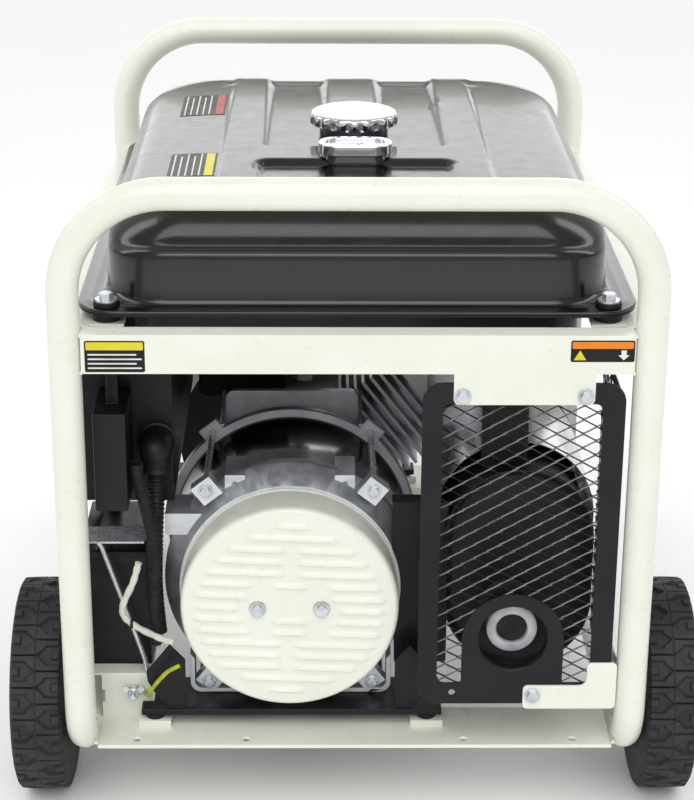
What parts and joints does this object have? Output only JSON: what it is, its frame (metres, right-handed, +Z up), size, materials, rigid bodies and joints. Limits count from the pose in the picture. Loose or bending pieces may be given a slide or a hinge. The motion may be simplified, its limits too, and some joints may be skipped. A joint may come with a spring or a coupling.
{
  "type": "portable generator",
  "caption": "Open-frame portable generator with a tubular carrying frame, wheels, fold-down handle, fuel tank, engine, alternator, caged muffler and side control panel.",
  "frame": {"origin": "on the floor under the centre of the whole machine", "axes": "+Z up, +Y from the alternator end to the recoil starter end, +X to the right seen from the alternator end"},
  "size_m": [0.72, 0.803, 0.716],
  "materials": {
    "cream_paint": "satin",
    "black_paint": "satin",
    "gloss_black": "gloss",
    "zinc": "satin",
    "bright_steel": "gloss",
    "dark_steel": "satin",
    "chrome": "gloss",
    "cast_alloy": "matte",
    "cast_iron": "matte",
    "rubber": "matte",
    "tyre": "matte",
    "rim_plastic": "matte",
    "black_plastic": "matte",
    "white_plastic": "matte",
    "red_plastic": "gloss",
    "green_plastic": "gloss",
    "yellow_plastic": "gloss",
    "glass": "gloss"
  },
  "bodies": {
    "frame": {"near_hoop": "cream_paint", "far_hoop": "cream_paint", "base_tubes": "cream_paint", "tank_rails": "cream_paint", "near_crossbar": "cream_paint", "base_channels": "cream_paint", "wheel_axles": "zinc", "rear_legs": "cream_paint", "rubber_feet": "rubber", "tank_upper_shell": "gloss_black", "tank_lower_shell": "black_paint", "frame_bolts": "zinc", "rubber_mounts": "rubber", "gauge_bezel": "chrome", "gauge_lens": "glass", "alternator_cover": "cream_paint", "alternator_bolts": "zinc", "end_bell": "cast_alloy", "stator": "gloss_black", "adaptor_housing": "cast_alloy", "foot_bracket": "cast_alloy", "crankcase": "cast_alloy", "cylinder_head": "cast_alloy", "blower_housing": "black_paint", "recoil_starter": "black_plastic", "air_filter": "black_plastic", "carburettor": "cast_alloy", "muffler": "black_paint", "spark_arrestor": "zinc", "muffler_guard": "black_paint", "guard_mesh": "black_paint", "guard_bracket": "cream_paint", "heat_shield": "bright_steel", "muffler_stay": "black_paint", "control_panel": "black_paint", "receptacles": "black_plastic", "battery": "black_plastic", "battery_rod": "zinc", "avr_box": "black_plastic", "conduits": "rubber", "white_lead": "white_plastic", "earth_wire": "yellow_plastic", "ground_stud": "zinc", "engine_cradle": "black_paint"},
    "left_wheel": {"left_tyre": "tyre", "left_rim": "rim_plastic"},
    "right_wheel": {"right_tyre": "tyre", "right_rim": "rim_plastic"},
    "handle": {"fold_handle": "cream_paint"},
    "fuel_cap": {"fuel_cap": "chrome"},
    "crank": {"rotor": "dark_steel", "flywheel": "cast_iron"},
    "recoil_grip": {"recoil_grip": "black_plastic"},
    "choke_lever": {"choke_lever": "zinc"},
    "fuel_valve": {"fuel_valve": "red_plastic"},
    "oil_dipstick": {"oil_dipstick": "yellow_plastic"},
    "outlet_cover": {"outlet_cover": "black_plastic"},
    "engine_switch": {"engine_switch": "red_plastic"},
    "start_button": {"start_button": "green_plastic"},
    "main_breaker": {"main_breaker": "black_plastic"}
  },
  "joints": [
    {"name": "left_wheel_spin", "type": "hinge", "parent": "frame", "child": "left_wheel", "pos_m": [-0.304, -0.2755, 0.114], "axis": [1, 0, 0], "continuous": true},
    {"name": "right_wheel_spin", "type": "hinge", "parent": "frame", "child": "right_wheel", "pos_m": [0.304, -0.2755, 0.114], "axis": [1, 0, 0], "continuous": true},
    {"name": "handle_fold", "type": "hinge", "parent": "frame", "child": "handle", "pos_m": [0, 0.389, 0.43], "axis": [1, 0, 0], "range_deg": [0, 90]},
    {"name": "fuel_cap_turn", "type": "hinge", "parent": "frame", "child": "fuel_cap", "pos_m": [0, -0.0405, 0.666], "axis": [0, 0, 1], "range_deg": [0, 90]},
    {"name": "crank_spin", "type": "hinge", "parent": "frame", "child": "crank", "pos_m": [-0.068, -0.0855, 0.246], "axis": [0, 1, 0], "continuous": true},
    {"name": "recoil_pull", "type": "slide", "parent": "frame", "child": "recoil_grip", "axis": [0, 1, 0], "range_m": [0, 0.5], "stiffness_N_per_m": 40, "springref_m": -0.25},
    {"name": "choke_turn", "type": "hinge", "parent": "frame", "child": "choke_lever", "pos_m": [-0.054, 0.0025, 0.404], "axis": [0, 0, 1], "range_deg": [0, 75]},
    {"name": "fuel_valve_turn", "type": "hinge", "parent": "frame", "child": "fuel_valve", "pos_m": [-0.054, -0.0035, 0.404], "axis": [0, -1, 0], "range_deg": [0, 90]},
    {"name": "dipstick_turn", "type": "hinge", "parent": "frame", "child": "oil_dipstick", "pos_m": [-0.136, -0.0555, 0.3], "axis": [0, 0, 1], "range_deg": [0, 270]},
    {"name": "outlet_cover_lift", "type": "hinge", "parent": "frame", "child": "outlet_cover", "pos_m": [-0.303, -0.1875, 0.473], "axis": [0, 1, 0], "range_deg": [0, 110], "stiffness_Nm_per_rad": 0.02, "springref_deg": -28.65},
    {"name": "engine_switch_rock", "type": "hinge", "parent": "frame", "child": "engine_switch", "pos_m": [-0.296, -0.2355, 0.452], "axis": [0, 1, 0], "range_deg": [-12, 12]},
    {"name": "start_button_press", "type": "slide", "parent": "frame", "child": "start_button", "axis": [1, 0, 0], "range_m": [0, 0.003], "stiffness_N_per_m": 400, "springref_m": -0.001},
    {"name": "main_breaker_toggle", "type": "hinge", "parent": "frame", "child": "main_breaker", "pos_m": [-0.296, -0.0955, 0.452], "axis": [0, 1, 0], "range_deg": [-20, 20]}
  ]
}
